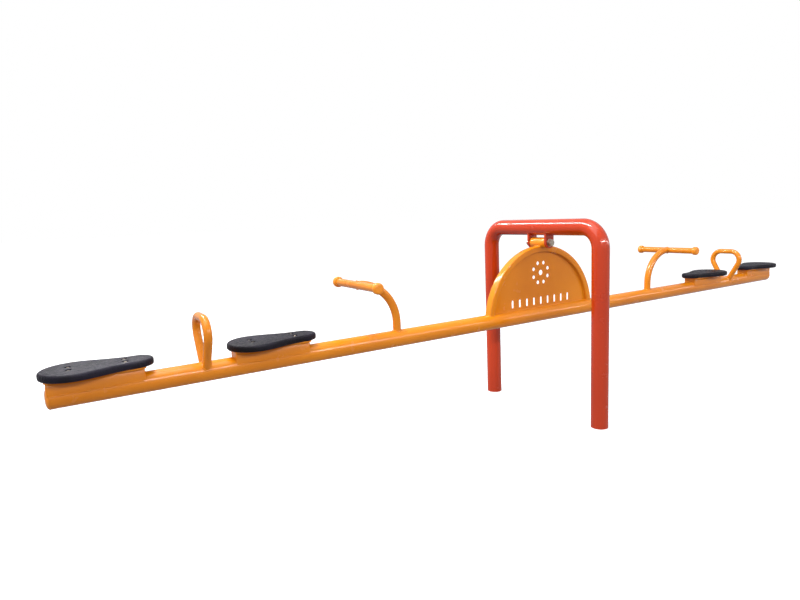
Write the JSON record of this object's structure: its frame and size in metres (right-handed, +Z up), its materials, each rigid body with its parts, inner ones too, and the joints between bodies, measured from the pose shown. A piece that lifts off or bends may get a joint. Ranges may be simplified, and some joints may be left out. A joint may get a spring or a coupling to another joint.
{
  "type": "seesaw",
  "caption": "Playground seesaw: tube beam hung from a pivot under a bent-tube hoop, with an arched web, rubber seats, cross-bar grips and loop handles.",
  "frame": {"origin": "on the ground line, midway between the two posts of the hoop", "axes": "+Z up, +X along the level beam, +Y along the pivot axis"},
  "size_m": [4.21, 0.7882, 1.333],
  "materials": {
    "yellow_powder_coat": "glossy powder coat",
    "red_powder_coat": "glossy powder coat",
    "black_rubber": "pebbled, slightly glossy",
    "zinc_plated_steel": "zinc plated",
    "bush_polymer": "plain bearing polymer",
    "yellow_moulded_plastic": "moulded, same colour as the beam"
  },
  "bodies": {
    "frame": {"hoop_frame": "red_powder_coat", "cheek_plate_front": "red_powder_coat", "cheek_plate_back": "red_powder_coat", "pivot_bolt": "zinc_plated_steel", "pivot_nut": "zinc_plated_steel", "pivot_washers": "zinc_plated_steel"},
    "rocker": {"beam_tube": "yellow_powder_coat", "beam_cap_left": "yellow_powder_coat", "beam_cap_right": "yellow_powder_coat", "arch_rim": "yellow_powder_coat", "arch_plate": "yellow_powder_coat", "pivot_hub": "yellow_powder_coat", "pivot_bush_front": "bush_polymer", "pivot_bush_back": "bush_polymer", "grip_post_left": "yellow_powder_coat", "grip_bar_left": "yellow_powder_coat", "loop_handle_left": "yellow_powder_coat", "grip_knob_left_front": "yellow_moulded_plastic", "grip_knob_left_back": "yellow_moulded_plastic", "seat_left_outer": "black_rubber", "seat_plate_left_outer": "yellow_powder_coat", "seat_saddle_left_outer": "yellow_powder_coat", "seat_bolts_left_outer": "zinc_plated_steel", "seat_washers_left_outer": "zinc_plated_steel", "seat_nuts_left_outer": "zinc_plated_steel", "seat_left_inner": "black_rubber", "seat_plate_left_inner": "yellow_powder_coat", "seat_saddle_left_inner": "yellow_powder_coat", "seat_bolts_left_inner": "zinc_plated_steel", "seat_washers_left_inner": "zinc_plated_steel", "seat_nuts_left_inner": "zinc_plated_steel", "grip_post_right": "yellow_powder_coat", "grip_bar_right": "yellow_powder_coat", "loop_handle_right": "yellow_powder_coat", "grip_knob_right_front": "yellow_moulded_plastic", "grip_knob_right_back": "yellow_moulded_plastic", "seat_right_outer": "black_rubber", "seat_plate_right_outer": "yellow_powder_coat", "seat_saddle_right_outer": "yellow_powder_coat", "seat_bolts_right_outer": "zinc_plated_steel", "seat_washers_right_outer": "zinc_plated_steel", "seat_nuts_right_outer": "zinc_plated_steel", "seat_right_inner": "black_rubber", "seat_plate_right_inner": "yellow_powder_coat", "seat_saddle_right_inner": "yellow_powder_coat", "seat_bolts_right_inner": "zinc_plated_steel", "seat_washers_right_inner": "zinc_plated_steel", "seat_nuts_right_inner": "zinc_plated_steel"}
  },
  "joints": [
    {"name": "beam_tilt", "type": "hinge", "parent": "frame", "child": "rocker", "pos_m": [0, 0, 0.822], "axis": [0, 1, 0], "range_deg": [-12, 12]}
  ]
}
